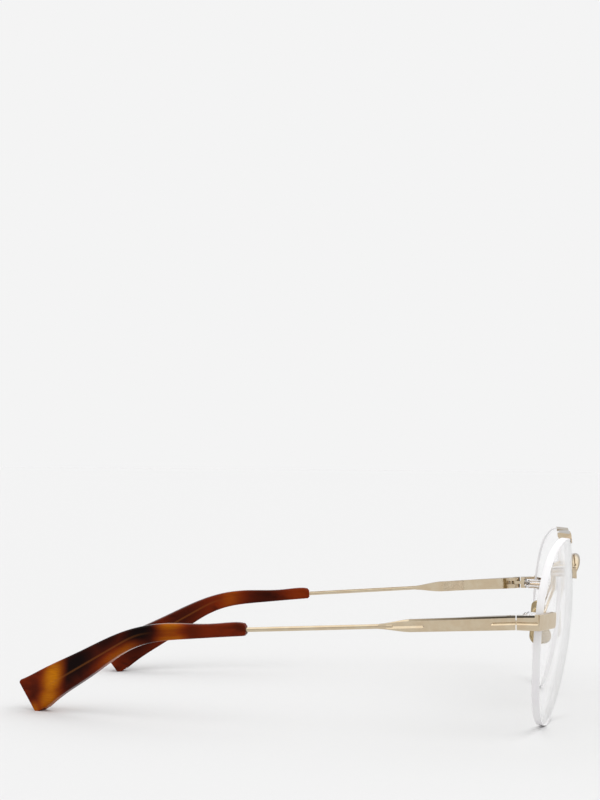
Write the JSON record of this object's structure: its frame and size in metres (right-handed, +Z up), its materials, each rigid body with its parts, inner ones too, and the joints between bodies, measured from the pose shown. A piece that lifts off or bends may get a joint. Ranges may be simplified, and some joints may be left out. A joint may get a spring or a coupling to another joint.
{
  "type": "rimless eyeglasses",
  "caption": "Rimless pilot eyeglasses with clear lenses, a metal bridge and brow bar, folding temples with tortoise tips and rocking metal nose pads.",
  "frame": {"origin": "under the middle of the opened glasses, on the table they stand on", "axes": "+X to the wearer's left, +Y back to the ears, +Z up"},
  "size_m": [0.136, 0.1636, 0.0536],
  "materials": {
    "lens": "clear polished demo lens",
    "clear_sleeve": "clear moulded",
    "gold": "polished pale gold plate",
    "pad_metal": "satin gold plate",
    "screw": "gold plated steel",
    "acetate": "polished tortoise"
  },
  "bodies": {
    "front": {"bridge": "gold", "brow_bar": "gold", "left_lens": "lens", "left_end_piece": "gold", "left_end_posts": "gold", "left_end_sleeve": "clear_sleeve", "left_bridge_posts": "gold", "left_bridge_sleeve": "clear_sleeve", "left_pad_arm": "gold", "left_pad_box": "gold", "left_pad_screw": "screw", "right_lens": "lens", "right_end_piece": "gold", "right_end_posts": "gold", "right_end_sleeve": "clear_sleeve", "right_bridge_posts": "gold", "right_bridge_sleeve": "clear_sleeve", "right_pad_arm": "gold", "right_pad_box": "gold", "right_pad_screw": "screw"},
    "left_temple_arm": {"left_temple": "gold", "left_temple_tip": "acetate", "left_hinge_screw": "screw"},
    "left_pad": {"left_nose_pad": "pad_metal"},
    "right_temple_arm": {"right_temple": "gold", "right_temple_tip": "acetate", "right_hinge_screw": "screw"},
    "right_pad": {"right_nose_pad": "pad_metal"}
  },
  "joints": [
    {"name": "left_temple_fold", "type": "hinge", "parent": "front", "child": "left_temple_arm", "pos_m": [0.066, -0.06178, 0.03175], "axis": [0, 0, 1], "range_deg": [0, 79.5]},
    {"name": "left_pad_rock", "type": "hinge", "parent": "front", "child": "left_pad", "pos_m": [0.0124, -0.07041, 0.02572], "axis": [-0.4226, -0.9063, 0], "range_deg": [-8, 8]},
    {"name": "right_temple_fold", "type": "hinge", "parent": "front", "child": "right_temple_arm", "pos_m": [-0.066, -0.06178, 0.03175], "axis": [0, 0, -1], "range_deg": [0, 74.5]},
    {"name": "right_pad_rock", "type": "hinge", "parent": "front", "child": "right_pad", "pos_m": [-0.0124, -0.07041, 0.02572], "axis": [0.4226, -0.9063, 0], "range_deg": [-8, 8]}
  ]
}
